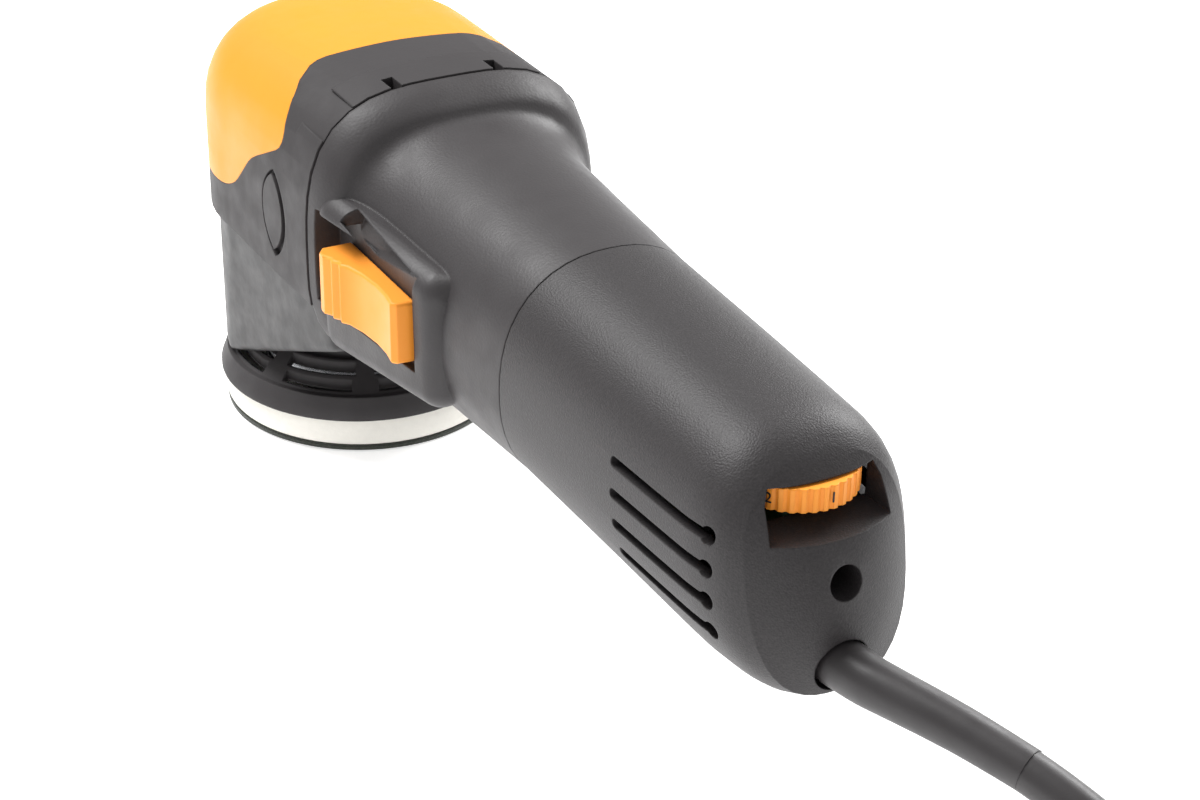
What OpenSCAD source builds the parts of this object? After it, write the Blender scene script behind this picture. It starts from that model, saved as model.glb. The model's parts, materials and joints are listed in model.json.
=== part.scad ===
// Dual action polisher with a 75 mm plate: a mains powered head, grip and rear cover.
// Millimetres. +Z up along the drive spindle, +Y towards the head's nose, +X to the tool's right.
// The origin is on the drive spindle's axis, in the plane of the pad's working face.

/* [Head] */
// Radius of the round nose of the head
head_r = 40; // [39:0.5:41]
// Height of the motor axis over the pad's working face
axis_h = 75.3; // [75:0.1:76]
// Height of the top of the cap
cap_top = 114.5; // [113:0.5:115]
// Wall of the cap and of the cover
cover_t = 2.4; // [2:0.1:2.6]

/* [Pad] */
// Radius of the foam pad
pad_r = 39.5; // [37:0.5:40]
// Height of the foam pad, hook disc included
pad_h = 11.5; // [10.5:0.1:11.6]
// Orbit diameter of the plate
orbit = 9; // [8:0.5:9]
// Direction of the crank at rest, degrees from +X
crank_angle = 60; // [0:5:355]

/* [Motor housing] */
// Half width of the flange that meets the head
flange_w = 39.3; // [39:0.1:40]
// Half width of the grip at the joint with the rear cover
grip_w = 27.5; // [27:0.1:28]
// Half height of the grip at the same joint
grip_h = 29.8; // [29.5:0.1:30.5]
// Wall of the motor housing
housing_t = 2.6; // [2.2:0.1:2.8]

/* [Rear cover] */
// Wall of the rear cover
rear_t = 2.5; // [2.2:0.1:2.8]
// Length of the vent slots
slot_len = 34; // [28:1:36]
// Width of the vent slots
slot_w = 2.6; // [2:0.1:3]
// Radius of the speed dial
dial_r = 13.5; // [12.5:0.5:13.5]

/* [Gears] */
// Teeth of the pinion on the armature shaft
pinion_teeth = 9; // [9:1:9]
// Teeth of the crown gear on the spindle
crown_teeth = 37; // [37:1:37]
// Outer pitch radius of the crown gear
crown_r = 26; // [25:0.5:26]

/* [Cord] */
// Diameter of the mains cord
cord_d = 9; // [8:0.5:9]

/* [Hidden] */
$fn = 64;

ring_n = 48;                  // points around a lofted section
crank = orbit / 2;            // distance from spindle axis to plate axis
crank_x = crank * cos(crank_angle);
crank_y = crank * sin(crank_angle);

flange_y = -59.6;             // joint between head and motor housing
head_y = -59;                 // rear face of the head
flange_top = 41.8;            // flange height over the motor axis
flange_bot = 31.5;            // flange depth under the motor axis
grip_y = -141.3;              // joint between motor housing and rear cover
crease_y = -233.4;            // where the side of the rear cover turns into its end face
end_tilt = 0.25;              // lean of the end face
end_bulge = 7.5;              // how far the end face is domed
cover_z = 62.5;               // lower edge of the head cover
rim_z = 12;                   // lower edge of the shroud
pod_round = 6;                // rounding of the switch pod, and the centres of its corners
pod_corners = [[-32.6, -67, 13.5], [-31.4, -67, -17], [-27.4, -110, 11], [-27, -110, -13]];
floor_z = 52;                 // underside of the floor of the gear chamber
plate_front = -50.5;          // front and rear face of the pinion plate
plate_rear = -61;
web_rear = -66;               // rear face of the web inside the motor housing's flange
neck_end = -165;              // end of the motor housing's neck
pocket_front = -62.4;         // pocket of the slide switch
pocket_rear = -108.5;
pocket_x = -31.6;
screw_z = axis_h - 2;         // height of the cover screw
dial_y = -220.5;
dial_z = 86.6;
dial_t = 5.4;
clamp_y = -218;               // cord clamp
clamp_z = 58.4;
hook_t = 1.4;                 // thickness of the hook and loop disc
centre_bore_r = 7;
bolt_head = 3.4;              // height of the plate bolt's head
plug_y = -504;                // rear end of the plug in the hank's eye
plug_r = 18;

// Route from inside the rear cover to the hank: level at the exit, then down to the floor
cord_z = 53.8;                // height of the cord's exit
cord_route = [
    [0, -212, 53.8], [0, -224, 53.8], [0, -236, 53.8], [1, -246, 53.7], [4, -254, 53.3],
    [8, -263, 52.4], [12, -272, 51.2], [16.5, -283, 49.2], [21, -295, 46], [25, -307, 41.8],
    [28.4, -319, 36.6], [31.2, -331, 30.2], [33.4, -343, 23.4], [34.8, -355, 17], [35.6, -367, 11.4],
    [36, -379, 7.4], [36.2, -391, 5.2], [36.2, -403, 4.7], [36.2, -414, 4.6]
];
guard_route = [for (i = [2 : 7]) cord_route[i]];
// Short end from the top of the hank down into its eye, to the plug
tail_route = [
    [27, -424, 41.4], [26, -434, 41.7], [23.2, -444, 42], [19, -454, 41.4], [14.2, -464, 38.8],
    [9.6, -473, 34.4], [5.6, -482, 28.6], [2.6, -490, 23.2], [0, -497, 18.6], [0, -504, 18]
];
hank_y = -424;                // near end of the hank's straight runs
hank_run = 130;
hank_r = 41;                  // outer and inner radius of the hank's round ends
hank_eye = 22.4;
hank_h = 46.2;

pinion_r = crown_r * pinion_teeth / crown_teeth;
gear_face = 7;                // face width of the teeth
steel = "#b9bcc0";
black = "#4c4a4c";
amber = "#ffc34b";
orange = "#ffa23a";

// ---------------------------------------------------------------- sections and lofts
function bulge_r(n, t) = 1 / pow(pow(abs(cos(t)), n) + pow(abs(sin(t)), n), 1 / n);
// One section across the motor axis: [y, half width, top, bottom, squareness, lean]
function section(s, inset = 0) = [
    for (i = [0 : ring_n - 1])
        let (t = 360 * i / ring_n,
             r = bulge_r(s[4], t),
             z = ((sin(t) > 0 ? s[2] : s[3]) - inset) * sin(t) * r)
        [(s[1] - inset) * cos(t) * r, s[0] + s[5] * z, axis_h + z]
];
// Point on a smooth curve through b and c, with a before them and d after them
function curve_point(a, b, c, d, t) =
    0.5 * (2 * b + (c - a) * t + (2 * a - 5 * b + 4 * c - d) * t * t
        + (3 * b - a - 3 * c + d) * t * t * t);
// Points or sections with n smooth steps between each two
function smooth_steps(s, n) = [
    for (i = [0 : len(s) - 2], k = [0 : n - 1])
        curve_point(s[max(i - 1, 0)], s[i], s[i + 1], s[min(i + 2, len(s) - 1)], k / n),
    s[len(s) - 1]
];
// Closed solid through sections that run from the front to the rear
module loft(sections, inset = 0) {
    rings = [for (s = sections) section(s, inset)];
    last = len(rings) - 1;
    sides = [
        for (k = [0 : last - 1])
            for (i = [0 : ring_n - 1])
                let (a = k * ring_n + i, b = k * ring_n + (i + 1) % ring_n)
                each [[a, a + ring_n, b + ring_n], [a, b + ring_n, b]]
    ];
    front = [for (i = [0 : ring_n - 1]) i];
    rear = [for (i = [ring_n - 1 : -1 : 0]) last * ring_n + i];
    polyhedron([for (r = rings) each r], concat(sides, [front, rear]));
}
// Round bar along Y from y0 to y1
module bar_y(y0, y1, r, x = 0, z = axis_h) {
    translate([x, y0, z])
        rotate([y1 > y0 ? -90 : 90, 0, 0])
            cylinder(h = abs(y1 - y0), r = r);
}
// Round bar along X from x0 to x1
module bar_x(x0, x1, r, y, z) {
    translate([x0, y, z])
        rotate([0, x1 > x0 ? 90 : -90, 0])
            cylinder(h = abs(x1 - x0), r = r);
}
// Ball bearing standing on z = 0
module bearing(bore, outer, width) {
    rotate_extrude() {
        ring_t = (outer - bore) * 0.3;
        translate([bore, 0]) square([ring_t, width]);
        translate([outer - ring_t, 0]) square([ring_t, width]);
        translate([bore + ring_t, width * 0.15]) square([outer - bore - 2 * ring_t, width * 0.7]);
    }
}
module at_crank() {
    translate([crank_x, crank_y, 0]) children();
}
module to_axis_y(y) {
    translate([0, y, axis_h]) rotate([90, 0, 0]) children();
}
// Pan head screw along -Z, its head's top at the origin
module screw(len, r, head_r, head_h) {
    translate([0, 0, -head_h]) cylinder(h = head_h, r = head_r);
    translate([0, 0, -head_h - len]) cylinder(h = len, r = r);
}

// ---------------------------------------------------------------- head
// Profile of the round nose over its own axis, from the cover's edge to the crown
module nose_profile(inset) {
    polygon([
        [0, cover_z - 20],
        [head_r - inset, cover_z - 20],
        [head_r - inset, cover_z + 28],
        for (a = [10 : 10 : 80])
            [(head_r - 22 + (22 - inset) * pow(cos(a), 0.85)),
             cover_z + 28 + (cap_top - cover_z - 28 - inset - 1.5) * pow(sin(a), 0.95)],
        [head_r - 26, cap_top - inset - 1],
        [0, cap_top - inset]
    ]);
}
// Outer form of the whole head, shrunk by inset
module head_form(inset = 0) {
    hull() {
        rotate_extrude($fn = 56) nose_profile(inset);
        loft([
            [-54 + min(inset, 1), flange_w, flange_top - 1, flange_bot, 3.2, 0],
            [head_y - (inset > 0 ? 1 : 0), flange_w, flange_top, flange_bot, 3.2, 0]
        ], inset);
    }
}
// Side view of the cap's wavy border, as [y, z]
cap_wave = [[2, 73.8], [-5, 74.8], [-12, 78], [-18.5, 84], [-24.5, 89.5], [-34, 94.5],
    [-40, 98], [-40, 102], [-38, 105.5], [-35.5, 109], [-31, 112], [-27, 114]];
cap_border = concat([[45, 72]], smooth_steps(cap_wave, 3), [[-27, 130], [45, 130]]);
module cap_side() {
    translate([50, 0, 0])
        rotate([90, 0, -90])
            linear_extrude(height = 100)
                mirror([1, 0]) polygon([for (p = cap_border) [p[0], p[1]]]);
}
module head_shell() {
    difference() {
        head_form();
        head_form(cover_t);
        translate([-60, -70, 0]) cube([120, 130, cover_z]);
    }
}
module head_cap() {
    color(amber) intersection() {
        head_shell();
        cap_side();
    }
}
// Groove that outlines a leaf shaped boss in the cover's sides, wider at its rear
module leaf_shape(grow) {
    intersection() {
        translate([-6.2, 0]) circle(r = 12.2 + grow);
        translate([6.2, 0]) circle(r = 12.2 + grow);
    }
}
module leaf_grooves() {
    for (x = [-41, 38.1])
        translate([x, -37, 79.5]) rotate([90, 0, 90]) linear_extrude(height = 2.9) difference() {
            translate([-0.9, 0]) leaf_shape(1.4);
            leaf_shape(0);
        }
}
module head_cover() {
    color(black) difference() {
        union() {
            difference() {
                head_shell();
                cap_side();
            }
            difference() {
                hull() {
                    loft([[-46, flange_w + 0.3, flange_top + 0.3, flange_bot, 3.2, 0],
                          [head_y, flange_w + 0.3, flange_top + 0.3, flange_bot, 3.2, 0]]);
                }
                head_form(1);
                translate([-60, -70, 0]) cube([120, 130, cover_z]);
                translate([-34, head_y - 1, cover_z - 1]) cube([68, 20, 52]);
            }
        }
        for (x = [-14, 14])
            translate([x - 1.5, head_y - 1, axis_h + flange_top - 3]) cube([3, 7, 6]);
        leaf_grooves();
    }
}

// Cavity that holds the gears, with a boss for the top bearing
module gear_cavity() {
    rotate_extrude() polygon([
        [0, 40], [29.5, 40], [29.5, 90], [25, 103], [15.5, 103], [15.5, 87.9], [0, 87.9]
    ]);
    bar_y(-20, head_y - 3, 15.5);
}
// Screws between the motor housing and the head, as [x, height over the motor axis]
flange_points = [[25, 19], [-25, 19], [26, -17], [-26, -17]];
module flange_holes(r) {
    for (p = flange_points) bar_y(-43, web_rear - 1, r, p[0], axis_h + p[1]);
}
// Screws that join the two castings, as [x, y]
casting_points = [[16.3, 28.2], [-16.3, 28.2], [26.5, -38], [-26.5, -38]];
module casting_holes(r) {
    for (p = casting_points) translate([p[0], p[1], 51]) cylinder(h = 18, r = r);
}
module gear_housing() {
    color("silver") difference() {
        intersection() {
            head_form(cover_t + 0.3);
            translate([-60, plate_front + 0.2, cover_z + 0.3]) cube([120, 110, 60]);
        }
        gear_cavity();
        translate([0, 0, 87]) cylinder(h = 7.9, r = 11);
        flange_holes(2.1);
        casting_holes(1.4);
    }
}
module pinion_plate() {
    color("silver") difference() {
        loft([[plate_front, 33.6, 36.5, 12, 3.2, 0], [plate_rear, 33.6, 36.5, 12, 3.2, 0]]);
        bar_y(plate_front + 1, plate_rear - 1, 13.02);
        flange_holes(2.1);
    }
}
// Lower casting: round in front, sloping back to the motor flange behind
module front_arc(r, from_y) {
    first = asin(from_y / r);
    linear_extrude(height = 1)
        polygon([for (k = [0 : 20]) let (a = first + (180 - 2 * first) * k / 20) r * [cos(a), sin(a)]]);
}
module lower_form(inset) {
    hull() {
        translate([0, 0, 18.6]) front_arc(head_r - 2 - inset, 6.6 + inset);
        translate([0, 0, 27.6]) cylinder(h = 1, r = 27.5 - inset, $fn = 40);
        translate([0, 0, cover_z - 1.2]) cylinder(h = 1, r = head_r - 2 - inset, $fn = 48);
        translate([inset - 33, head_y + 0.6 + inset, 47.5 + inset])
            cube([66 - 2 * inset, 2, cover_z - 47.7 - inset]);
    }
}
module bearing_housing() {
    color(black) difference() {
        lower_form(0);
        difference() {
            translate([0, 0, -0.01]) lower_form(3);
            translate([0, 0, floor_z]) cylinder(h = 30, r = 60);
            translate([0, 0, 40]) cylinder(h = 13, r = 24);
            translate([0, 0, 27]) cylinder(h = 7, r = 27.4);
        }
        // cone that the shroud's grille leans on
        rotate_extrude() polygon([[0, 10], [37, 10], [37, 18.5], [36.7, 18.5], [27.4, 27.5], [0, 27.5]]);
        translate([0, 0, 17]) cylinder(h = 20.9, r = 23.2);
        translate([0, 0, 30]) cylinder(h = 22.9, r = 17.5);
        translate([0, 0, 30]) cylinder(h = 40, r = 12);
        translate([0, 0, floor_z + 3.3]) cylinder(h = 20, r = 29.5);
        bar_y(-20, head_y - 3, 15.5);
        flange_holes(2.1);
        casting_holes(1.4);
        for (a = [45 : 90 : 315])
            rotate([0, 0, a]) translate([20.4, 0, 30]) cylinder(h = 17, r = 1.4);
        for (a = [30 : 120 : 270])
            rotate([0, 0, a]) translate([25, 0, 25]) cylinder(h = 7, r = 1.05);
    }
}
module spindle_top_bearing() {
    color(steel) translate([0, 0, 87.9]) bearing(4, 11, 7);
}
module spindle_bearing() {
    color(steel) translate([0, 0, 42]) bearing(7.5, 17.5, 10.9);
}
module bearing_retainer() {
    color(steel) translate([0, 0, 38]) difference() {
        rotate_extrude() translate([12, 0]) square([10.9, 2]);
        for (a = [45 : 90 : 315])
            rotate([0, 0, a]) translate([20.4, 0, -1]) cylinder(h = 4, r = 1.4);
    }
}
module felt_seal() {
    color("tan") translate([0, 0, 40]) rotate_extrude() translate([7.8, 0]) square([9.6, 2]);
}
module pinion_bearing() {
    color(steel) to_axis_y(plate_front - 1) bearing(4.5, 13, 8);
}
module retainer_screws() {
    color(steel)
        for (a = [45 : 90 : 315])
            rotate([0, 0, a])
                translate([20.4, 0, 36.1])
                    rotate([180, 0, 0]) screw(8, 1.4, 2.3, 1.9);
}
module casting_screws() {
    color(steel)
        for (p = casting_points)
            translate([p[0], p[1], floor_z - 2.2]) rotate([180, 0, 0]) screw(15, 1.4, 2.3, 2.2);
}
module flange_screws() {
    color(steel)
        for (p = flange_points)
            translate([p[0], web_rear - 2.8, axis_h + p[1]])
                rotate([90, 0, 0]) screw(22, 2, 2.8, 2.8);
}

// ---------------------------------------------------------------- shroud
// Curved air slots in the rear half, as [radius, width, sweep]
slot_rows = [[34.6, 2.4, 33], [31.1, 2.6, 36], [28.3, 1.6, 38]];
module grille_slots() {
    for (row = slot_rows, k = [0 : 4])
        rotate([0, 0, 180 + k * 45 - row[2] / 2])
            translate([0, 0, 10])
                rotate_extrude(angle = row[2])
                    translate([row[0] - row[1] / 2, 0]) square([row[1], 20]);
}
module shroud() {
    color(black) difference() {
        rotate_extrude() polygon([
            [37.6, rim_z], [39.9, rim_z], [39.9, rim_z + 1.2], [39, rim_z + 3.6], [38, 18.3],
            [36.5, 18.4], [27.2, 27.3], [23.4, 27.3], [23.4, 24.6], [26.6, 24.6], [36, 15.7],
            [37.6, 15.5]
        ]);
        grille_slots();
        for (a = [30 : 120 : 270])
            rotate([0, 0, a]) translate([25, 0, 20]) cylinder(h = 10, r = 1.1);
    }
}
module shroud_screws() {
    color(steel)
        for (a = [30 : 120 : 270])
            rotate([0, 0, a])
                translate([25, 0, 23.1]) rotate([180, 0, 0]) screw(7, 1, 1.5, 1.4);
}

// ---------------------------------------------------------------- motor housing
motor_sections = [
    [flange_y, flange_w, flange_top, flange_bot, 3.2, 0],
    [-64, 38.2, 40, 31.5, 3.2, 0],
    [-68, 36.3, 37.2, 31.3, 3.1, 0],
    [-70, 34.4, 34.6, 31.2, 2.8, 0],
    [-76, 32.8, 33.4, 31, 2.45, 0],
    [-90, 31.4, 32.6, 30.8, 2.3, 0],
    [grip_y, grip_w, grip_h, grip_h, 2.29, 0]
];
motor_bore = [
    [web_rear, 31.5, 31, 28, 2.6, 0],
    [-76, 29.8, 30.4, 28, 2.45, 0],
    [-90, 28.8, 30, 28.2, 2.3, 0],
    [grip_y + 2.6, grip_w - housing_t, grip_h - housing_t, grip_h - housing_t, 2.29, 0]
];
// Raised pad around the slide switch, on the tool's left
module switch_pod() {
    difference() {
        hull() {
            for (p = pod_corners) translate([p[0], p[1], axis_h + p[2]]) sphere(r = pod_round, $fn = 32);
            translate([-24, -116, axis_h - 16]) cube([4, 52, 32]);
        }
        // facet over the slider
        translate([-41, -76, axis_h + 19.6])
            rotate([0, 40, -8]) translate([0, -28, 0]) cube([14, 30, 5]);
    }
}
module bearing_seat() {
    difference() {
        bar_y(-150.6, neck_end + 1, 13);
        bar_y(-140, -158.9, 11.4);
        bar_y(-150, neck_end - 1, 2, 0, screw_z);
    }
}
// Ribs that carry the stator
module stator_ribs() {
    for (a = [45 : 90 : 315])
        intersection() {
            difference() {
                translate([0, -105, axis_h])
                    rotate([0, a, 0])
                        translate([27.5, 0, 0]) cube([7, 38, 5], center = true);
                bar_y(-80, -130, 25.05);
            }
            loft([[-80, 30, 31, 29, 2.3, 0], [-130, 27, 29, 28.6, 2.29, 0]]);
        }
}
module motor_housing() {
    color(black) difference() {
        union() {
            loft(smooth_steps(motor_sections, 3));
            switch_pod();
            bar_y(grip_y + 3, neck_end, 23.4);
        }
        // recess for the plate, opening for the fan, bore for the motor, neck
        loft([
            [flange_y + 1, 33.8, 36.7, 12.2, 3.2, 0],
            [plate_rear - 0.2, 33.8, 36.7, 12.2, 3.2, 0]
        ]);
        bar_y(flange_y + 1, web_rear - 1, 26.6);
        loft(motor_bore);
        bar_y(grip_y + 4, neck_end + 4, 21.4);
        bar_y(neck_end + 5, neck_end - 1, 2, 0, screw_z);
        for (a = [30, 90, 150, 210, 270, 330])
            bar_y(neck_end + 5, neck_end - 1, 3.4, 17.2 * cos(a), axis_h + 17.2 * sin(a));
        flange_holes(2.1);
        for (p = flange_points) bar_y(web_rear, web_rear - 3.4, 3, p[0], axis_h + p[1]);
        translate([-50, pocket_rear, axis_h - 9.6])
            cube([50 + pocket_x, pocket_front - pocket_rear, 24.6]);
        translate([-40, -96, axis_h - 3.4]) cube([20, 18, 6.8]);
        translate([-20.8, neck_end - 1, axis_h - 3.6]) cube([4.4, 8, 7.2]);
    }
    color(black) bearing_seat();
    color(black) stator_ribs();
}
module air_baffle() {
    color("#3a3a3c") to_axis_y(-80.5) difference() {
        cylinder(h = 1.8, r = 27.8);
        translate([0, 0, -1]) cylinder(h = 4, r = 20);
        // notch for the switch rod
        translate([-30, -4.5, -1]) cube([12, 9, 4]);
    }
}
module stator_core() {
    color("#7d7f83") difference() {
        bar_y(-86, -124, 25);
        bar_y(-85, -125, 15.2);
        // winding windows above and below the bore, and a flat for the switch rod
        for (side = [-1, 1])
            intersection() {
                bar_y(-85, -125, 20.5);
                translate([-12, -125, axis_h + side * 14.5 - 6]) cube([24, 40, 12]);
            }
        translate([-35, -125, 0]) cube([11.6, 40, 120]);
        translate([-35, -125, axis_h - 4.5]) cube([15.4, 40, 9]);
    }
}
module stator_coils() {
    color("#b0682f")
        for (side = [-1, 1], end = [-85.8, -126.2])
            translate([0, end, axis_h])
                rotate([-90, 0, 0])
                    rotate([0, 0, side * 90 - 58])
                        rotate_extrude(angle = 116) translate([16, 0]) square([6.4, 1.6]);
}
module rear_bearing() {
    color(steel) to_axis_y(-152) bearing(3.5, 9.5, 6);
}
module bearing_bush() {
    color("#2e2e30") to_axis_y(-151.5) difference() {
        cylinder(h = 7.2, r = 11.4);
        translate([0, 0, 0.5]) cylinder(h = 6, r = 9.5);
        translate([0, 0, -1]) cylinder(h = 10, r = 8);
    }
}
brush_y = -139.5;
// Puts its child above and below the shaft at the brushes
module at_brushes() {
    for (a = [0, 180])
        translate([0, brush_y, axis_h]) rotate([0, a, 0]) children();
}
module brush_holders() {
    color("#d9b25a") at_brushes() difference() {
        translate([-4, -5, 12]) cube([8, 10, 8.8]);
        translate([-3, -4, 11]) cube([6, 8, 9]);
    }
}
module carbon_brushes() {
    color("#38383b") at_brushes() translate([-2.95, -3.95, 10.75]) cube([5.9, 7.9, 6.2]);
}
module brush_springs() {
    color(steel) at_brushes()
        for (k = [0 : 2])
            translate([0, 0, 16.95 + k]) rotate_extrude() translate([1.6, 0]) square([1, 0.8]);
}
module switch_body() {
    color("#27272a") difference() {
        translate([-20, -202, axis_h - 9]) cube([12, 26, 13]);
        translate([-21, -190, axis_h - 3.5]) cube([3, 15, 7]);
    }
}

// ---------------------------------------------------------------- rear cover
cover_sections = [
    [grip_y - 0.35, grip_w, grip_h, grip_h, 2.29, 0],
    [-180, 26.2, 28.3, 30.6, 2.33, 0.02],
    [-212, 24.8, 26.8, 31.7, 2.4, 0.08],
    [-222, 24, 26, 31.4, 2.45, 0.12],
    [-229, 22.2, 24.2, 30.4, 2.5, 0.2]
];
crease_section = [crease_y, 19.3, 21.5, 28.5, 2.53, end_tilt];
face_sections = [
    crease_section,
    for (k = [0.92, 0.8, 0.62, 0.4, 0.18])
        [crease_y - end_bulge * (1 - k * k), 19.3 * k, 21.5 * k, 28.5 * k, 2.4, end_tilt]
];
cover_bore = concat(
    [[grip_y + 1, grip_w, grip_h, grip_h, 2.29, 0]],
    cover_sections,
    [[crease_y + 1.4, 19.3, 21.5, 28.5, 2.53, end_tilt],
     [crease_y - 3, 13, 14, 19, 2.4, end_tilt]]
);
cover_outside = concat(
    smooth_steps(concat(cover_sections, [crease_section]), 3),
    [for (i = [1 : len(face_sections) - 1]) face_sections[i]]
);
// Straight slot with a round bulb at its rear end
module vent_slot(side, z) {
    front_y = -191 + (z - axis_h) * 0.06;
    hull() {
        for (y = [front_y, front_y - slot_len])
            bar_x(side * 12, side * 40, slot_w / 2, y, z);
    }
    bar_x(side * 12, side * 40, slot_w * 0.78, front_y - slot_len, z);
}
module rear_cover() {
    color(black) difference() {
        union() {
            difference() {
                loft(cover_outside);
                loft(cover_bore, rear_t);
            }
            // boss of the cover screw, and posts of the cord clamp
            intersection() {
                bar_y(neck_end - 0.3, -240, 5.6, 0, screw_z);
                loft(cover_outside, 1);
            }
            for (side = [-1, 1])
                translate([side * 11 - 3, clamp_y - 3, 48]) cube([6, 6, clamp_z - 48]);
            // tray and side walls of the dial's window
            intersection() {
                translate([-15.6, -245, 79.5]) cube([31.2, 18.2, 13.5]);
                loft(cover_outside, 1);
            }
        }
        bar_y(-182, -250, 3.8, 0, screw_z);
        bar_y(-160, -190, 2, 0, screw_z);
        bar_y(-225, -250, 6.4, 0, cord_z);
        hull() {
            translate([-12.6, -250, dial_z - 3]) cube([25.2, 28, 8.9]);
            translate([-14.5, -250, dial_z - 4.6]) cube([29, 15, 6]);
        }
        for (side = [-1, 1], k = [0 : 3]) vent_slot(side, axis_h + 6.5 - k * 7.4);
        clamp_holes();
    }
}
module cover_screw() {
    color(steel) difference() {
        union() {
            bar_y(-182, -184.6, 3.5, 0, screw_z);
            bar_y(-182, -161, 1.9, 0, screw_z);
        }
        for (a = [0, 90])
            translate([0, -184.6, screw_z]) rotate([0, a, 0]) cube([4, 2, 0.8], center = true);
    }
}
module clamp_holes() {
    for (side = [-1, 1])
        translate([side * 11, clamp_y, 51]) cylinder(h = 12, r = 1.2);
}
module cord_clamp() {
    color("#27272a") difference() {
        translate([-14, clamp_y - 3, clamp_z]) cube([28, 6, 2.6]);
        clamp_holes();
    }
}
module clamp_screws() {
    color(steel)
        for (side = [-1, 1])
            translate([side * 11, clamp_y, clamp_z + 4]) screw(9, 1.2, 2.2, 1.4);
}
module speed_board() {
    color("#2f6b43") union() {
        translate([-13, -226, 80.3]) cube([26, 40, 1.6]);
        difference() {
            translate([-6, dial_y - 6, 81.9]) cube([12, 12, 3.6]);
            translate([0, dial_y, 82.4]) cylinder(h = 4, r = 2.05);
        }
        translate([4, -200, 81.9]) cube([7, 12, 5]);
        translate([-10, -202, 81.9]) cylinder(h = 8, r = 4);
    }
}
module speed_dial() {
    color(orange) difference() {
        union() {
            translate([0, dial_y, dial_z]) cylinder(h = dial_t, r = dial_r);
            translate([0, dial_y, 82.6]) cylinder(h = 5, r = 2);
        }
        for (k = [0 : 35])
            translate([0, dial_y, dial_z - 1])
                rotate([0, 0, k * 10])
                    translate([dial_r + 0.25, 0, 0]) cylinder(h = dial_t + 2, r = 0.75, $fn = 6);
    }
}

// ---------------------------------------------------------------- switch
module switch_slider() {
    color(orange) translate([0, 0, axis_h - 8])
        linear_extrude(height = 16) polygon([
            [pocket_x - 0.3, -69.5], [-39.6, -69.5], [-41.2, -71.5], [-41.4, -74],
            [-40.2, -76], [-40.6, -77.4], [-39.4, -79], [-39.8, -80.4], [-38.6, -82],
            [-37.2, -88], [-36.6, -94], [-36.8, -100], [-37.6, -104.6], [-36.4, -106],
            [pocket_x - 0.3, -106.4]
        ]);
}
module switch_rod() {
    color("#27272a") {
        translate([pocket_x - 0.3, -92, axis_h - 3]) cube([7.5, 6, 6]);
        translate([-25.4, -124, axis_h - 3]) cube([1, 38, 6]);
        hull() {
            translate([-25.4, -125, axis_h - 3]) cube([1, 2, 6]);
            translate([-20.2, -136, axis_h - 3]) cube([1, 2, 6]);
        }
        translate([-20.2, -188, axis_h - 3]) cube([1, 53, 6]);
    }
}

// ---------------------------------------------------------------- cord
function unit(v) = v / norm(v);
function cross_to(d) = unit(cross(d, [0, 0, 1]));
// Tube swept along a route, with its radius given at the start and the end
module sweep(route, r0, r1, sides) {
    last = len(route) - 1;
    points = [
        for (i = [0 : last])
            let (d = unit(route[min(i + 1, last)] - route[max(i - 1, 0)]),
                 u = cross_to(d), v = cross(u, d), r = r0 + (r1 - r0) * i / last)
            for (k = [0 : sides - 1])
                let (a = 360 * k / sides) route[i] + r * (cos(a) * u + sin(a) * v)
    ];
    skin = [
        for (i = [0 : last - 1], k = [0 : sides - 1])
            let (a = i * sides + k, b = i * sides + (k + 1) % sides)
            each [[a, b, b + sides], [a, b + sides, a + sides]]
    ];
    first_cap = [for (k = [sides - 1 : -1 : 0]) k];
    last_cap = [for (k = [0 : sides - 1]) last * sides + k];
    polyhedron(points, concat(skin, [first_cap, last_cap]));
}
module mains_cord() {
    color("#504e50") sweep(cord_route, cord_d / 2, cord_d / 2, 10);
}
module cord_tail() {
    color("#504e50") sweep(tail_route, cord_d / 2, cord_d / 2, 10);
}
module cord_guard() {
    color("#3f3d3f") difference() {
        sweep(guard_route, 6, 5, 16);
        sweep([for (i = [1 : 8]) cord_route[i]], cord_d / 2 + 0.1, cord_d / 2 + 0.1, 10);
    }
}
// Outline with round ends, its straight sides along the hank's runs
module hank_outline(r) {
    for (y = [hank_y, hank_y - hank_run]) translate([0, y]) circle(r = r);
    translate([-r, hank_y - hank_run]) square([2 * r, hank_run]);
}
module cord_hank() {
    color("#504e50") linear_extrude(height = hank_h) difference() {
        hank_outline(hank_r);
        hank_outline(hank_eye);
    }
}
// Straps round the two sides of the hank
module hank_ties() {
    bundle = hank_r - hank_eye;
    color("#2a2a2c")
        for (side = [-1, 1])
            translate([side * (hank_r + hank_eye) / 2, hank_y - hank_run / 2, hank_h / 2 + 0.1])
                rotate([90, 0, 0]) linear_extrude(height = 14, center = true) difference() {
                    square([bundle + 2.4, hank_h], center = true);
                    square([bundle + 0.1, hank_h + 1], center = true);
                }
}
// Two pin plug that lies in the hank's eye, its pins towards -Y
module plug() {
    color("#504e50") difference() {
        union() {
            bar_y(plug_y, plug_y - 16, 7, 0, plug_r);
            bar_y(plug_y - 16, plug_y - 24, plug_r - 4, 0, plug_r);
            bar_y(plug_y - 24, plug_y - 48, plug_r, 0, plug_r);
        }
        for (side = [-1, 1]) bar_y(plug_y - 36, plug_y - 49, 2.4, side * 9.5, plug_r);
    }
}
module plug_pins() {
    color(steel)
        for (side = [-1, 1]) bar_y(plug_y - 36, plug_y - 67, 2.4, side * 9.5, plug_r);
}

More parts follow.
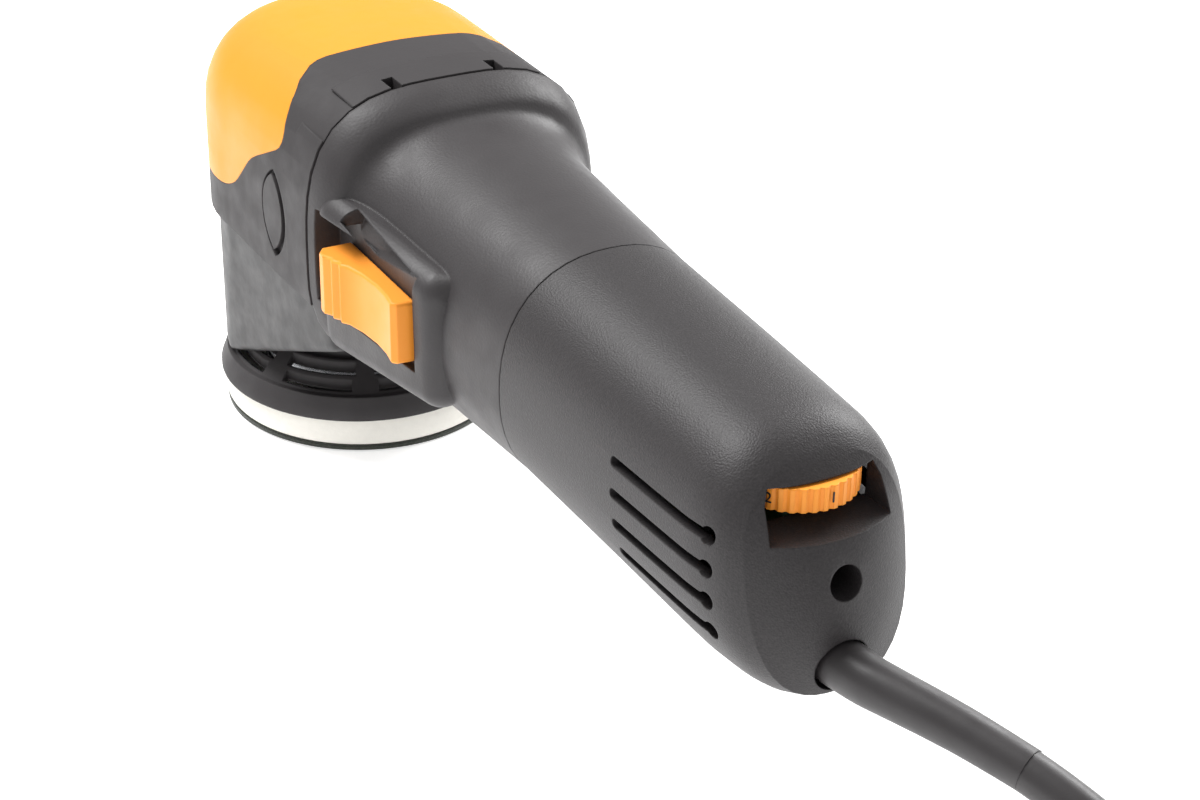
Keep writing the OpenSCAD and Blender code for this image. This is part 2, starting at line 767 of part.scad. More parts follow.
// ---------------------------------------------------------------- armature
module armature_shaft() {
    color(steel) {
        bar_y(-18.5, -30, 2.2);
        bar_y(-30, -151, 4.45);
        bar_y(-151, -158.4, 3.45);
    }
}
module armature_core() {
    color("#8d8f93") difference() {
        bar_y(-85, -125, 14.7);
        bar_y(-84, -126, 4.45);
        for (k = [0 : 11])
            translate([0, 0, axis_h]) rotate([0, k * 30, 0])
                translate([13.6, -105, 0]) cube([4, 42, 1.4], center = true);
    }
}
module armature_windings() {
    color("#b0682f")
        for (y = [-85, -130.5])
            translate([0, y, axis_h]) rotate([-90, 0, 0])
                rotate_extrude() polygon([
                    [4.45, 0], [11, 0], [13, 1.4], [13, 4.1], [12, 5.5], [4.45, 5.5]
                ]);
}
module commutator() {
    color("#b87743") difference() {
        bar_y(-132, -147, 10.4);
        bar_y(-131, -148, 4.45);
        for (k = [0 : 11])
            translate([0, 0, axis_h]) rotate([0, k * 30, 0])
                translate([10.4, -139.5, 0]) cube([1.2, 17, 0.5], center = true);
    }
}
module cooling_fan() {
    color("#3a3a3c") to_axis_y(-67.2) difference() {
        union() {
            cylinder(h = 1.6, r = 26);
            cylinder(h = 10, r = 9);
            for (k = [0 : 13])
                rotate([0, 0, k * 360 / 14]) translate([8, -0.7, 0]) cube([17.6, 1.4, 9]);
        }
        translate([0, 0, -1]) cylinder(h = 20, r = 4.45);
    }
}

// ---------------------------------------------------------------- gears
// Straight bevel teeth round +Z, their cones' common point at the origin.
// The pitch circle has the radius r at the distance h along +Z.
module bevel_teeth(teeth, r, h) {
    cone = atan2(r, h);
    reach = norm([r, h]);
    inner = 1 - gear_face / crown_r;
    function corner(s, t, n) = s * [reach * sin(cone) + n * cos(cone), t,
                                    reach * cos(cone) - n * sin(cone)];
    points = [
        for (s = [1, inner])
            each [corner(s, -root_w, -root_n), corner(s, root_w, -root_n),
                  corner(s, tip_w, tip_n), corner(s, -tip_w, tip_n)]
    ];
    for (k = [0 : teeth - 1])
        rotate([0, 0, k * 360 / teeth])
            polyhedron(points, [[0, 1, 2, 3], [7, 6, 5, 4], [0, 4, 5, 1], [1, 5, 6, 2],
                                [2, 6, 7, 3], [3, 7, 4, 0]]);
}
root_w = 1.25;                // half width and depth of a tooth at its root
root_n = 1.8;
tip_w = 0.45;                 // half width and height of a tooth at its tip
tip_n = 1;
module pinion() {
    color(steel) difference() {
        union() {
            translate([0, 0, axis_h]) rotate([90, 0, 0]) rotate([0, 0, 90])
                bevel_teeth(pinion_teeth, pinion_r, crown_r);
            to_axis_y(-19) rotate_extrude() polygon([
                [2, 0], [3.5, 0], [4.85, 7.2], [5.6, 7.2], [5.6, 11], [2, 11]
            ]);
        }
        bar_y(-18, -31, 2.2);
    }
}
module crown_gear() {
    color("#9a9da1") difference() {
        union() {
            translate([0, 0, axis_h]) rotate([180, 0, 0]) rotate([0, 0, 90])
                bevel_teeth(crown_teeth, crown_r, pinion_r);
            rotate_extrude() polygon([
                [5, 56], [11, 56], [11, 62], [27, 62], [27, 67], [25.6, 67.5], [18.8, 69.6],
                [17, 69.6], [15.5, 65], [5, 65]
            ]);
        }
        translate([0, 0, 50]) cylinder(h = 20, r = 6);
    }
}

// ---------------------------------------------------------------- spindle and plate
module spindle() {
    color(steel) {
        translate([0, 0, 35.6]) cylinder(h = 18, r = 7.45);
        translate([0, 0, 53.6]) cylinder(h = 11.4, r = 6);
        translate([0, 0, 65]) cylinder(h = 29.9, r = 3.95);
    }
}
module counterweight() {
    color("#8a8c90") {
        at_crank() difference() {
            translate([0, 0, 18]) cylinder(h = 17.6, r = 16);
            translate([0, 0, 17]) cylinder(h = 16, r = 13);
        }
        difference() {
            intersection() {
                translate([0, 0, 17.8]) cylinder(h = 4.4, r = 27.4);
                rotate([0, 0, crank_angle + 180]) translate([6, -30, 0]) cube([30, 60, 40]);
            }
            at_crank() translate([0, 0, 10]) cylinder(h = 30, r = 15.9);
        }
    }
}
module plate_bearings() {
    color(steel) at_crank() {
        translate([0, 0, 18.6]) bearing(5, 13, 7);
        translate([0, 0, 25.8]) bearing(5, 13, 7);
    }
}
module plate_bolt() {
    color(steel) at_crank() difference() {
        union() {
            translate([0, 0, pad_h + 0.2]) cylinder(h = bolt_head, r = 6);
            translate([0, 0, pad_h + 0.2]) cylinder(h = 20.9, r = 4.9);
        }
        translate([0, 0, pad_h]) cylinder(h = 2.4, r = 3, $fn = 6);
    }
}
module backing_plate() {
    color("#2f2f31") at_crank() difference() {
        union() {
            translate([0, 0, pad_h]) cylinder(h = 2.6, r = 28);
            translate([0, 0, pad_h]) cylinder(h = 6.4, r = 9);
        }
        translate([0, 0, pad_h - 1]) cylinder(h = 10, r = 4.95);
        translate([0, 0, pad_h - 1]) cylinder(h = bolt_head + 1.2, r = 6.05);
    }
}
module foam_pad() {
    color("#e8e6df") at_crank() difference() {
        translate([0, 0, hook_t]) cylinder(h = pad_h - hook_t, r = pad_r);
        translate([0, 0, -1]) cylinder(h = 20, r = centre_bore_r);
    }
}
module hook_disc() {
    color("#3d413c") at_crank() difference() {
        cylinder(h = hook_t, r = pad_r - 0.2);
        translate([0, 0, -1]) cylinder(h = 20, r = centre_bore_r);
    }
}

head_cap();
head_cover();
gear_housing();
pinion_plate();
bearing_housing();
casting_screws();
flange_screws();
shroud();
shroud_screws();
spindle_top_bearing();
spindle_bearing();
bearing_retainer();
retainer_screws();
felt_seal();
pinion_bearing();
motor_housing();
stator_core();
stator_coils();
air_baffle();
rear_bearing();
bearing_bush();
brush_holders();
carbon_brushes();
brush_springs();
switch_body();
rear_cover();
cover_screw();
cord_clamp();
clamp_screws();
speed_board();
speed_dial();
switch_slider();
switch_rod();
cord_guard();
mains_cord();
cord_tail();
cord_hank();
hank_ties();
plug();
plug_pins();
armature_shaft();
armature_core();
armature_windings();
commutator();
cooling_fan();
pinion();
spindle();
crown_gear();
counterweight();
plate_bearings();
plate_bolt();
backing_plate();
foam_pad();
hook_disc();
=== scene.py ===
"""Looks of a dual action polisher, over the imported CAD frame. Metres, apart from the cord's points."""
import math

import bmesh
import bpy
from mathutils import Matrix, Vector
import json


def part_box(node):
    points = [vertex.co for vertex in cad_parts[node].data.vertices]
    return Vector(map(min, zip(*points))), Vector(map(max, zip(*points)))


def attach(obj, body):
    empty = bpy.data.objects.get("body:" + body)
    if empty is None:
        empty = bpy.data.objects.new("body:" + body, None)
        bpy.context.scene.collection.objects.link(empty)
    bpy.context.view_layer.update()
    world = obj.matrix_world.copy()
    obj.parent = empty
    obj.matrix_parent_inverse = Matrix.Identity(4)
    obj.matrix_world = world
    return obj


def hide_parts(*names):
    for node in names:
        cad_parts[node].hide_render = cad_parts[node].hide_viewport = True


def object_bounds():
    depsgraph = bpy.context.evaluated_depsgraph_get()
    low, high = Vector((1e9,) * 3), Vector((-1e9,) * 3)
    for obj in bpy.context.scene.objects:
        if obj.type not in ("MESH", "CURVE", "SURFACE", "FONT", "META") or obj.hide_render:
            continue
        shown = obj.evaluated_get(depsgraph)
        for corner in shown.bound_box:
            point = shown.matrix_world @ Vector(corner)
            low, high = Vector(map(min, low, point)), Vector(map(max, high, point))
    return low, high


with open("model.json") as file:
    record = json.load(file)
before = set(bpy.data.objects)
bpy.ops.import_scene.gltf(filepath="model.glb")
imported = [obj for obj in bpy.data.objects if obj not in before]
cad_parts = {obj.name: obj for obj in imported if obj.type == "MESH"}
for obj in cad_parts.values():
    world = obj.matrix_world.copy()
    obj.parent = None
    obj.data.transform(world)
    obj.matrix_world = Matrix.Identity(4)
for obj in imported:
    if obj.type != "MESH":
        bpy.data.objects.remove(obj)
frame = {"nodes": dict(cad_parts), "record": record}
nodes = frame["nodes"]
cad_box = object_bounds()
MM = 0.001

# ---------------------------------------------------------------- camera
# Fitted to the photograph by the tool's axes: where the eye is, and the picture's right and down
EYE = Vector((-0.2494, -0.5837, 0.3458))
RIGHT = Vector((0.87666, -0.48080, 0.01701))
DOWN = Vector((-0.21896, -0.43021, -0.87577))
LENS = 75
SENSOR = 36


def make_camera():
    """Camera at the photograph's place."""
    data = bpy.data.cameras.new("camera")
    data.lens = LENS
    data.sensor_width = SENSOR
    data.clip_start = 0.01
    camera = bpy.data.objects.new("camera", data)
    bpy.context.scene.collection.objects.link(camera)
    up = -DOWN
    back = RIGHT.cross(up)
    camera.matrix_world = Matrix.Translation(EYE) @ Matrix((RIGHT, up, back)).transposed().to_4x4()
    bpy.context.scene.camera = camera


make_camera()


# ---------------------------------------------------------------- helpers
def add(name, data, body="tool"):
    """Links a new object and lets it ride on a body, if one is named."""
    obj = bpy.data.objects.new(name, data)
    bpy.context.scene.collection.objects.link(obj)
    if body:
        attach(obj, body)
    return obj


def mm(points):
    """Points given in millimetres, as vectors in metres."""
    return [Vector(p) * MM for p in points]


# ---------------------------------------------------------------- cord, in millimetres
CORD_R = 4.5
# From inside the rear cover down to the floor, as in part.scad
ROUTE = [
    (0, -212, 53.8), (0, -224, 53.8), (0, -236, 53.8), (1, -246, 53.7), (4, -254, 53.3),
    (8, -263, 52.4), (12, -272, 51.2), (16.5, -283, 49.2), (21, -295, 46), (25, -307, 41.8),
    (28.4, -319, 36.6), (31.2, -331, 30.2), (33.4, -343, 23.4), (34.8, -355, 17), (35.6, -367, 11.4),
    (36, -379, 7.4), (36.2, -391, 5.2), (36.2, -403, 4.7), (36.2, -414, 4.6),
]
# From the hank's top loop down to the plug, which lies in the hank's eye
TAIL = [
    (26, -434, 41.7), (23.2, -444, 42), (19, -454, 41.4), (14.2, -464, 38.8),
    (9.6, -473, 34.4), (5.6, -482, 28.6), (2.6, -490, 23.2), (0, -497, 18.6), (0, -504, 18),
]
# The tied hank: straight runs joined by half turns, eight turns that fill two columns of five layers
HANK_Y = -424
HANK_RUN = 130
TURNS = 8
INNER_R = 27
STEP = 9.2
FIRST_LAYER = 4.6
# The places that the cord takes in turn: column 0 is inside, layer 0 lies on the floor
PLACES = [(1, 0), (0, 0), (0, 1), (1, 1), (1, 2), (0, 2), (0, 3), (1, 3), (1, 4), (0, 4)]
# Where it shifts to the next place, in quarters of a turn from the start: three shifts in every ten
SHIFTS = [10 * k + at for k in range(3) for at in (2.83, 6.5, 10.17)]
SHIFT_WIDTH = 0.34
RUN_POINTS = 5
TURN_POINTS = 8
# Strain relief: its radius at the gland and at its tip, and how fast it narrows
GUARD_R = 5.95
GUARD_TIP_R = 4.62
GUARD_TAPER = 0.7


def hank_place(phase):
    """Radius and height of the cord's centre at a phase, in quarters of a turn."""
    column, layer = PLACES[0]
    for at, (c0, l0), (c1, l1) in zip(SHIFTS, PLACES, PLACES[1:]):
        f = min(max((phase - at) / SHIFT_WIDTH + 0.5, 0.0), 1.0)
        f = 0.5 - 0.5 * math.cos(math.pi * f)
        column += (c1 - c0) * f
        layer += (l1 - l0) * f
    return INNER_R + STEP * column, FIRST_LAYER + STEP * layer


def hank_points():
    """Centreline of the hank: each turn is a run back, a half turn, a run forward and a half turn."""
    points = []
    for quarter in range(4 * TURNS):
        side = quarter % 4
        count = TURN_POINTS if side % 2 else RUN_POINTS
        for i in range(count):
            f = i / count
            radius, height = hank_place(quarter + f)
            if side == 0:
                x, y = radius, HANK_Y - HANK_RUN * f
            elif side == 2:
                x, y = -radius, HANK_Y - HANK_RUN * (1 - f)
            else:
                sign = -1 if side == 1 else 1
                x = -sign * radius * math.cos(math.pi * f)
                y = HANK_Y - (HANK_RUN if side == 1 else 0) + sign * radius * math.sin(math.pi * f)
            points.append((x, y, height))
    radius, height = hank_place(4 * TURNS)
    points.append((radius, HANK_Y, height))
    return points


def tube_curve(name, points, radii, round_steps, length_steps):
    """Round tube along points, both in millimetres; each point has a radius of its own."""
    data = bpy.data.curves.new(name, "CURVE")
    data.dimensions = "3D"
    data.bevel_depth = 1.0
    data.bevel_resolution = round_steps
    data.resolution_u = length_steps
    data.use_fill_caps = True
    spline = data.splines.new("NURBS")
    spline.points.add(len(points) - 1)
    for spot, place, radius in zip(spline.points, mm(points), radii):
        spot.co = (*place, 1)
        spot.radius = radius * MM
    spline.order_u = 3
    spline.use_endpoint_u = True
    return data


def tube_mesh(name, data):
    """Mesh object made from a curve's surface."""
    source = bpy.data.objects.new(name, data)
    bpy.context.scene.collection.objects.link(source)
    bpy.context.view_layer.update()
    mesh = bpy.data.meshes.new_from_object(source)
    bpy.data.objects.remove(source)
    bpy.data.curves.remove(data)
    mesh.name = name
    mesh.shade_smooth()
    return add(name, mesh)


def make_guard():
    """Strain relief: a rubber sleeve that tapers smoothly onto the cord."""
    points = ROUTE[2:8]
    last = len(points) - 1
    radii = [GUARD_R + (GUARD_TIP_R - GUARD_R) * (i / last) ** GUARD_TAPER for i in range(last + 1)]
    guard = tube_mesh("strain_relief", tube_curve("strain_relief", points, radii, 12, 10))
    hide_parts("cord_guard")
    return guard


def make_cord():
    """The whole mains cord in one curve: the route to the floor, the hank, and the end at the plug."""
    points = ROUTE + hank_points() + TAIL
    cord = add("cord", tube_curve("cord", points, [CORD_R] * len(points), 6, 4))
    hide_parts("mains_cord", "cord_tail", "cord_hank")
    return cord


guard = make_guard()
cord = make_cord()


# ---------------------------------------------------------------- materials
def linear(code):
    """Linear colour of a six digit hexadecimal sRGB code."""
    parts = [int(code[i:i + 2], 16) / 255 for i in (0, 2, 4)]
    return tuple(c / 12.92 if c <= 0.04045 else ((c + 0.055) / 1.055) ** 2.4 for c in parts) + (1,)


def shade(colour, factor):
    """A colour made lighter or darker."""
    return tuple(min(c * factor, 1.0) for c in colour[:3]) + (1,)


# The range that most of a noise texture's values lie in
NOISE_LOW = 0.3
NOISE_HIGH = 0.7


class Look:
    """A node material: colour that varies a little, roughness that varies, and layers of bump."""

    def __init__(self, name, colour, rough, vary=0.12, patch=60, metal=0.0, **sockets):
        self.mat = bpy.data.materials.new(name)
        self.mat.use_nodes = True
        self.tree = self.mat.node_tree
        self.shader = self.tree.nodes["Principled BSDF"]
        self.place = self.tree.nodes.new("ShaderNodeTexCoord").outputs["Object"]
        self.shader.inputs["Metallic"].default_value = metal
        for key, value in sockets.items():
            self.shader.inputs[key.replace("_", " ")].default_value = value
        base = linear(colour)
        stops = [(NOISE_LOW, shade(base, 1 - vary)), (NOISE_HIGH, shade(base, 1 + vary))]
        self.ramp(self.noise(patch, 4), stops, self.shader.inputs["Base Color"])
        self.spread(self.noise(patch * 3, 3), rough * 0.88, min(rough * 1.12, 1),
                    self.shader.inputs["Roughness"])
        self.normal = None

    def node(self, kind, **values):
        """New shader node with some of its settings."""
        made = self.tree.nodes.new(kind)
        for key, value in values.items():
            setattr(made, key, value)
        return made

    def link(self, a, b):
        self.tree.links.new(a, b)

    def noise(self, scale, detail=2, rough=0.5):
        """Output of a noise texture."""
        made = self.node("ShaderNodeTexNoise")
        made.inputs["Scale"].default_value = scale
        made.inputs["Detail"].default_value = detail
        made.inputs["Roughness"].default_value = rough
        self.link(self.place, made.inputs["Vector"])
        return made.outputs["Fac"]

    def ramp(self, source, stops, target):
        """Turns a value into a colour between two stops."""
        made = self.node("ShaderNodeValToRGB")
        for stop, (at, colour) in zip(made.color_ramp.elements, stops):
            stop.position = at
            stop.color = colour
        self.link(source, made.inputs["Fac"])
        self.link(made.outputs["Color"], target)

    def spread(self, source, low, high, target):
        """Stretches a noise value over a range."""
        made = self.node("ShaderNodeMapRange")
        made.inputs["From Min"].default_value = NOISE_LOW
        made.inputs["From Max"].default_value = NOISE_HIGH
        made.inputs["To Min"].default_value = low
        made.inputs["To Max"].default_value = high
        self.link(source, made.inputs["Value"])
        self.link(made.outputs["Result"], target)

    def bump(self, source, distance, strength=1.0):
        """Adds a layer of bump on top of the layers so far."""
        made = self.node("ShaderNodeBump")
        made.inputs["Distance"].default_value = distance
        made.inputs["Strength"].default_value = strength
        self.link(source, made.inputs["Height"])
        if self.normal:
            self.link(self.normal, made.inputs["Normal"])
        self.normal = made.outputs["Normal"]
        self.link(self.normal, self.shader.inputs["Normal"])
        return self

    def rounded(self, radius):
        """Rounds the look of moulded edges."""
        made = self.node("ShaderNodeBevel", samples=4)
        made.inputs["Radius"].default_value = radius
        self.normal = made.outputs["Normal"]
        self.link(self.normal, self.shader.inputs["Normal"])
        return self

    def grain(self, scale, distance, strength=0.6):
        """Fine moulded texture, as small rounded pits."""
        made = self.node("ShaderNodeTexVoronoi", feature="SMOOTH_F1")
        made.inputs["Scale"].default_value = scale
        self.link(self.place, made.inputs["Vector"])
        return self.bump(made.outputs["Distance"], distance, strength)

    def waves(self, scale, distance, direction="Z", kind="BANDS", strength=0.6):
        """Fine even lines: turning marks, wound wire or stacked sheets."""
        made = self.node("ShaderNodeTexWave", wave_type=kind)
        if kind == "BANDS":
            made.bands_direction = direction
        else:
            made.rings_direction = direction
        made.inputs["Scale"].default_value = scale
        self.link(self.place, made.inputs["Vector"])
        return self.bump(made.outputs["Fac"], distance, strength)


def make_looks():
    """The look of each material slot, and of the rear cover, which has a coarser grain."""
    looks = {}

    def look(slot, *args, **kwargs):
        looks[slot] = Look(slot, *args, **kwargs)
        return looks[slot]

    cap = look("cap_amber", "DE8F28", 0.45, vary=0.02, patch=35, Specular_IOR_Level=0.22)
    cap.rounded(0.0006).grain(2200, 0.00004, 0.25)
    soft = look("rubber_black", "302D2E", 0.6, vary=0.05, patch=45, Specular_IOR_Level=0.35)
    soft.rounded(0.0006).bump(soft.noise(900, 3), 0.00004, 0.5).grain(2600, 0.00005, 0.3)
    body = look("housing_black", "343132", 0.48, vary=0.04, patch=40, Specular_IOR_Level=0.4)
    body.rounded(0.0008).grain(1500, 0.00007, 0.5).bump(body.noise(2500, 2), 0.00003, 0.4)
    cover = look("cover_grain", "2C292A", 0.5, vary=0.25, patch=1900, Specular_IOR_Level=0.4)
    cover.rounded(0.0005).grain(2600, 0.0001, 0.7).bump(cover.noise(2600, 2), 0.00004, 0.5)
    aluminium = look("cast_aluminium", "B4B6B9", 0.38, vary=0.06, metal=0.9)
    aluminium.bump(aluminium.noise(700, 4), 0.00008, 0.6)
    casting = look("casting_black", "1E1C1D", 0.5, vary=0.1)
    casting.rounded(0.0008).bump(casting.noise(500, 4), 0.00008, 0.6)
    look("steel", "BEC0C4", 0.24, vary=0.05, metal=1.0).waves(900, 0.00001, "Z", "RINGS", 0.3)
    look("dark_plastic", "1B1B1C", 0.5).grain(2400, 0.00004, 0.4)
    look("copper", "B8622E", 0.3, vary=0.15, patch=300, metal=0.9).waves(420, 0.0002, "Y", "RINGS", 0.8)
    look("laminations", "8C8E92", 0.36, vary=0.08, metal=0.9).waves(320, 0.00015, "Y", strength=0.9)
    brass = look("brass", "D3AE62", 0.28, vary=0.06, metal=1.0)
    brass.bump(brass.noise(600, 3), 0.00002, 0.4)
    carbon = look("carbon", "2A2A2C", 0.62, vary=0.2, patch=900)
    carbon.bump(carbon.noise(3000, 3), 0.00003, 0.6)
    felt = look("felt", "AFA186", 0.95, vary=0.18, patch=900, Sheen_Weight=0.5)
    felt.bump(felt.noise(1800, 5, 0.8), 0.0003, 0.8)
    look("board", "12301C", 0.45, vary=0.1, patch=300).grain(260, 0.0001, 0.5)
    orange = look("orange", "F69A38", 0.42, vary=0.03, patch=50, Specular_IOR_Level=0.25)
    orange.rounded(0.0004).grain(2400, 0.00003, 0.3)
    sheath = look("cord_rubber", "302D2E", 0.46, vary=0.1, patch=70)
    sheath.bump(sheath.noise(240, 2), 0.0001, 0.25).bump(sheath.noise(1400, 3), 0.00003, 0.5)
    foam = look("foam", "EFECE4", 0.9, vary=0.02, patch=500, Sheen_Weight=0.2)
    foam.grain(1500, 0.00015, 0.5).bump(foam.noise(2600, 3), 0.0001, 0.4)
    hook = look("hook", "33372F", 0.95, vary=0.3, patch=1400, Sheen_Weight=0.3)
    hook.bump(hook.noise(2400, 4, 0.8), 0.0004, 0.9)
    plate = look("plate_black", "2B2A2B", 0.45, vary=0.12, patch=200)
    plate.bump(plate.noise(900, 3), 0.00005, 0.5)
    return {slot: made.mat for slot, made in looks.items()}


LOOKS = make_looks()


def dress(obj, slot):
    """Puts one look on every material slot of an object."""
    if not obj.material_slots:
        obj.data.materials.append(LOOKS[slot])
    for place in obj.material_slots:
        place.link = "OBJECT"
        place.material = LOOKS[slot]


def dress_nodes():
    """Each CAD node takes the look of its own slot in the record, apart from the rear cover."""
    for part in frame["record"]["subparts"]:
        dress(nodes[part["node"]], part["material_slot"])
    dress(nodes["rear_cover"], "cover_grain")


# Edges sharper than this stay sharp; the rear cover's end face meets its sides in a flat bend
SHARP = math.radians(27)
COVER_SHARP = math.radians(12)
MERGE = 0.00001
VOXEL = 0.9 * MM
# Rounding of moulded edges, in millimetres
ROUNDING = {"switch_slider": 0.9, "speed_dial": 0.15, "plug": 1.2, "hook_disc": 0.3, "hank_ties": 0.4,
            "backing_plate": 0.5}


def smooth_group(angle):
    """Node group that joins a CAD mesh's faces and shades it smooth between its real edges."""
    group = bpy.data.node_groups.new("smooth_by_angle", "GeometryNodeTree")
    group.interface.new_socket("Geometry", in_out="INPUT", socket_type="NodeSocketGeometry")
    group.interface.new_socket("Geometry", in_out="OUTPUT", socket_type="NodeSocketGeometry")
    make = group.nodes.new
    start, end = make("NodeGroupInput"), make("NodeGroupOutput")
    merge = make("GeometryNodeMergeByDistance")
    merge.inputs["Distance"].default_value = MERGE
    faces = make("GeometryNodeSetShadeSmooth")
    faces.domain = "FACE"
    edges = make("GeometryNodeSetShadeSmooth")
    edges.domain = "EDGE"
    edges.inputs["Shade Smooth"].default_value = False
    edge = make("GeometryNodeInputMeshEdgeAngle")
    sharp = make("FunctionNodeCompare")
    sharp.data_type = "FLOAT"
    sharp.operation = "GREATER_THAN"
    sharp.inputs[1].default_value = angle
    link = group.links.new
    link(start.outputs[0], merge.inputs["Geometry"])
    link(merge.outputs["Geometry"], faces.inputs["Geometry"])
    link(faces.outputs["Geometry"], edges.inputs["Geometry"])
    link(edge.outputs["Unsigned Angle"], sharp.inputs[0])
    link(sharp.outputs["Result"], edges.inputs["Selection"])
    link(edges.outputs["Geometry"], end.inputs[0])
    return group


def soften_casting():
    """Cast edges of the lower casting are rounded over a few millimetres."""
    casting = nodes["bearing_housing"]
    remesh = casting.modifiers.new("even_mesh", "REMESH")
    remesh.mode = "VOXEL"
    remesh.voxel_size = VOXEL
    remesh.use_smooth_shade = True
    relax = casting.modifiers.new("cast_edges", "SMOOTH")
    relax.factor = 0.6
    relax.iterations = 16


def smooth_nodes():
    """Smooth shading on every CAD node, and small bevels on a few of them."""
    smooth = smooth_group(SHARP)
    crisp = smooth_group(COVER_SHARP)
    for name, node in nodes.items():
        node.modifiers.new("smooth", "NODES").node_group = crisp if name == "rear_cover" else smooth
    for name, width in ROUNDING.items():
        bevel = nodes[name].modifiers.new("edges", "BEVEL")
        bevel.width = width * MM
        bevel.segments = 3
        bevel.limit_method = "ANGLE"
        bevel.angle_limit = math.radians(35)


dress_nodes()
smooth_nodes()
soften_casting()
dress(cord, "cord_rubber")
dress(guard, "cord_rubber")


# ---------------------------------------------------------------- pad and dial
# The foam pad: its bore, how far its waist swells, the radius of its outer edges, a narrow ring round
# the bore, and the rings of its flat faces as parts of the outer radius
PAD_BORE_R = 0.007
PAD_WAIST = 0.0004
PAD_LIP = 0.0016
PAD_EDGE = 0.0006
PAD_RINGS = (0.4, 0.6, 0.8, 0.92)
# The dial's numerals: the angle of the first and the step between two, in degrees
FIRST_NUMERAL = -88
NUMERAL_STEP = 58
NUMERAL_SIZE = 0.0034
NUMERAL_DEPTH = 0.0001
NUMERAL_BELOW_TOP = 0.0027
NUMERAL_LIFT = 0.00005


def lathe(name, profile, centre, body, steps=96):
    """Closed ring turned from a profile of (radius, height) in metres."""
    mesh = bmesh.new()
    rings = []
    for k in range(steps):
        a = 2 * math.pi * k / steps
        rings.append([mesh.verts.new((centre.x + r * math.cos(a), centre.y + r * math.sin(a), z))
                      for r, z in profile])
    count = len(profile)
    for k in range(steps):
        one, two = rings[k], rings[(k + 1) % steps]
        for i in range(count):
            j = (i + 1) % count
            mesh.faces.new((one[i], two[i], two[j], one[j]))
    bmesh.ops.recalc_face_normals(mesh, faces=mesh.faces)
    data = bpy.data.meshes.new(name)
    mesh.to_mesh(data)
    mesh.free()
    data.shade_smooth()
    return add(name, data, body)


def arc(cx, cz, r, start, end, count=5):
    """Points of an arc in a profile, angles in degrees."""
    return [(cx + r * math.cos(math.radians(start + (end - start) * i / (count - 1))),
             cz + r * math.sin(math.radians(start + (end - start) * i / (count - 1))))
            for i in range(count)]


def make_pad():
    """Foam ring, a little fuller at its waist."""
    low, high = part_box("foam_pad")
    centre = (low + high) / 2
    outer = (high.x - low.x) / 2
    height = high.z - low.z
    profile = [(PAD_BORE_R, low.z), (PAD_BORE_R + PAD_EDGE, low.z)]
    profile += [(outer * f, low.z) for f in PAD_RINGS]
    profile += arc(outer - PAD_LIP, low.z + PAD_LIP, PAD_LIP, -90, -15)
    profile += [(outer + PAD_WAIST * math.sin(math.pi * f), low.z + height * f)
                for f in (0.3, 0.45, 0.6, 0.75)]
    profile += arc(outer - PAD_LIP, high.z - PAD_LIP, PAD_LIP, 15, 90)
    profile += [(outer * f, high.z) for f in reversed(PAD_RINGS)]
    profile += [(PAD_BORE_R + PAD_EDGE, high.z), (PAD_BORE_R, high.z)]
    pad = lathe("foam", profile, centre, "plate")
    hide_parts("foam_pad")
    dress(pad, "foam")


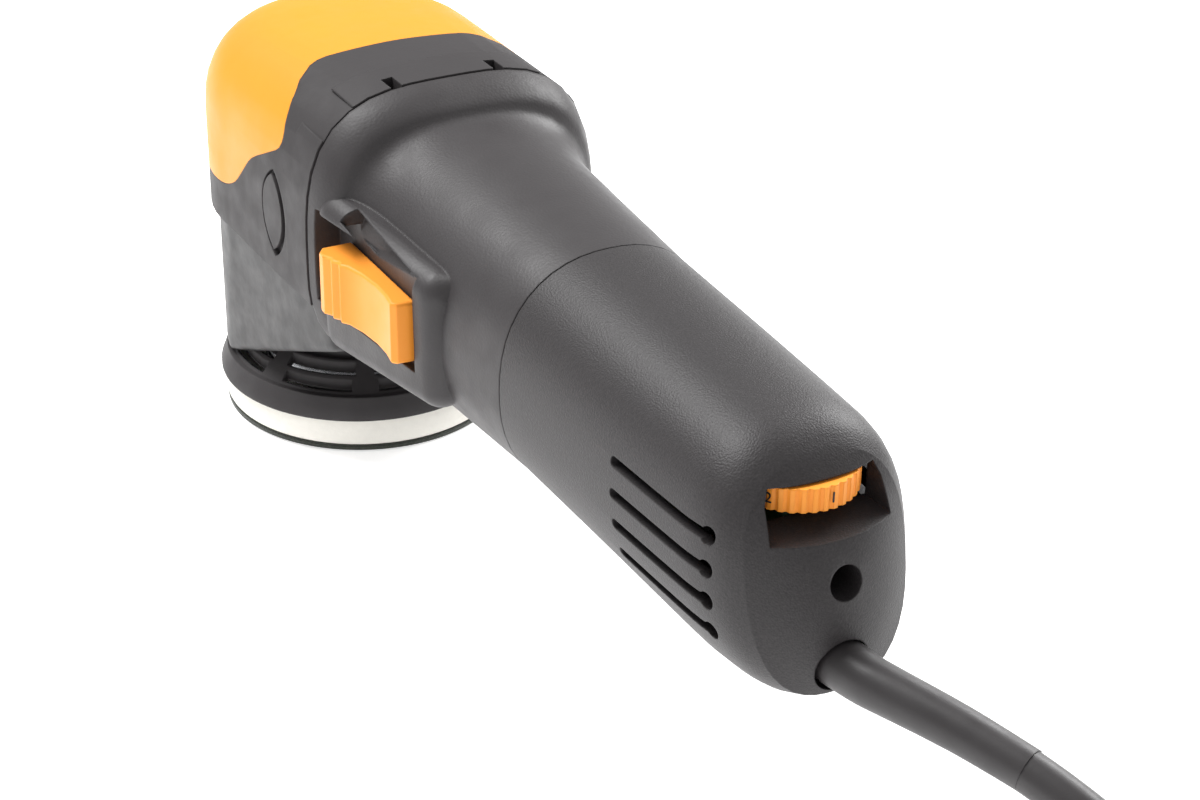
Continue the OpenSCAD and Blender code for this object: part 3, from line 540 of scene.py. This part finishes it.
def make_numerals():
    """Printed steps 1 to 6 round the dial's rim."""
    low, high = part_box("speed_dial")
    centre = Vector(((low.x + high.x) / 2, (low.y + high.y) / 2, 0))
    rim = (high.x - low.x) / 2
    height = high.z - NUMERAL_BELOW_TOP
    mat = Look("print_black", "1A1A1A", 0.6).mat
    for number in range(1, 7):
        # 1 faces the rear, a little to the tool's right, and the others follow round by its left
        a = math.radians(FIRST_NUMERAL - NUMERAL_STEP * (number - 1))
        data = bpy.data.curves.new(f"numeral_{number}", "FONT")
        data.body = str(number)
        data.size = NUMERAL_SIZE
        data.extrude = NUMERAL_DEPTH
        data.align_x = "CENTER"
        data.align_y = "CENTER"
        out = Vector((math.cos(a), math.sin(a), 0))
        side = Vector((0, 0, 1)).cross(out)
        numeral = add(f"numeral_{number}", data, "dial")
        place = centre + out * (rim + NUMERAL_LIFT)
        place.z = height
        turn = Matrix((side, Vector((0, 0, 1)), out)).transposed().to_4x4()
        numeral.matrix_world = Matrix.Translation(place) @ turn
        data.materials.append(mat)


make_pad()
make_numerals()


# ---------------------------------------------------------------- floor, world, lights
WHITE = (1, 1, 1, 1)
PALE = (0.97, 0.97, 0.97, 1)
FLOOR_HALF = 6.0
FLOOR_GAP = 0.0002
FLOOR_GLOW = 0.55
SKY = 0.6
LIT_PLACE = (0, -0.1, 0.05)


def make_floor():
    """Plain pale floor just under the object, which glows a little so that it fades to white."""
    mat = bpy.data.materials.new("floor")
    mat.use_nodes = True
    shader = mat.node_tree.nodes["Principled BSDF"]
    shader.inputs["Base Color"].default_value = PALE
    shader.inputs["Roughness"].default_value = 0.6
    shader.inputs["Emission Color"].default_value = WHITE
    shader.inputs["Emission Strength"].default_value = FLOOR_GLOW
    mesh = bmesh.new()
    corners = [mesh.verts.new((x * FLOOR_HALF, y * FLOOR_HALF, 0))
               for x, y in ((-1, -1), (1, -1), (1, 1), (-1, 1))]
    mesh.faces.new(corners)
    data = bpy.data.meshes.new("floor")
    mesh.to_mesh(data)
    mesh.free()
    data.materials.append(mat)
    floor = add("floor", data, None)
    floor.location.z = cad_box[0][2] - FLOOR_GAP


def area_light(name, place, size, power):
    """Soft square light that points at the tool."""
    data = bpy.data.lights.new(name, "AREA")
    data.shape = "SQUARE"
    data.size = size
    data.energy = power
    light = bpy.data.objects.new(name, data)
    bpy.context.scene.collection.objects.link(light)
    light.location = place
    light.rotation_euler = (Vector(LIT_PLACE) - Vector(place)).to_track_quat("-Z", "Y").to_euler()


def make_lights():
    """White studio light from all round, a key light from above and a weaker one from the right."""
    bpy.context.scene.view_settings.view_transform = "Standard"
    world = bpy.data.worlds.new("world")
    bpy.context.scene.world = world
    world.use_nodes = True
    sky = world.node_tree.nodes["Background"]
    sky.inputs["Color"].default_value = WHITE
    sky.inputs["Strength"].default_value = SKY
    area_light("key", (-0.35, 0.35, 1.0), 0.55, 15)
    area_light("rim", (0.8, 0.1, 0.55), 0.5, 9)


make_floor()
make_lights()
